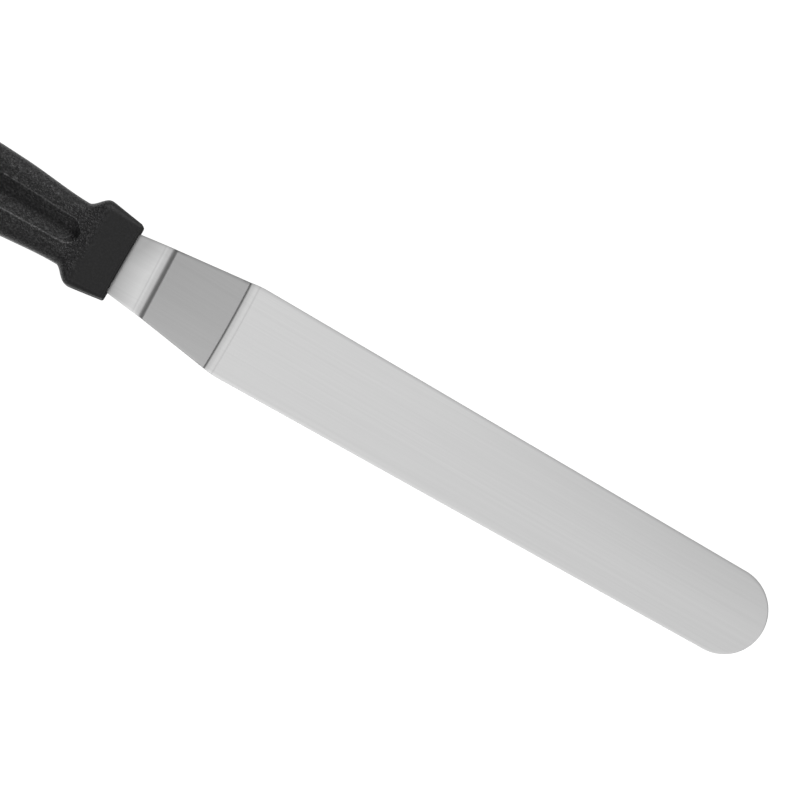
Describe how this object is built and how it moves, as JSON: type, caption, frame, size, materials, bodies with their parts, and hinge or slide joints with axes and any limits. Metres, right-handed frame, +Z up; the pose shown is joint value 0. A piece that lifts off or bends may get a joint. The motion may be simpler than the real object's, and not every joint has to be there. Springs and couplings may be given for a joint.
{
  "type": "offset spatula",
  "caption": "Offset icing spatula: long thin steel blade with a round tip, cranked neck and a fluted black plastic handle with a hanging hole.",
  "frame": {"origin": "on the surface that the blade rests on, under the middle of the whole length and width", "axes": "+X from the butt of the handle towards the blade's tip, +Y across the blade, +Z up, away from the surface that the blade rests on, towards the raised handle"},
  "size_m": [0.376, 0.035, 0.0291],
  "materials": {
    "stainless_steel": "satin",
    "black_plastic": "matte"
  },
  "bodies": {
    "root": {"blade": "stainless_steel", "handle": "black_plastic"}
  },
  "joints": []
}
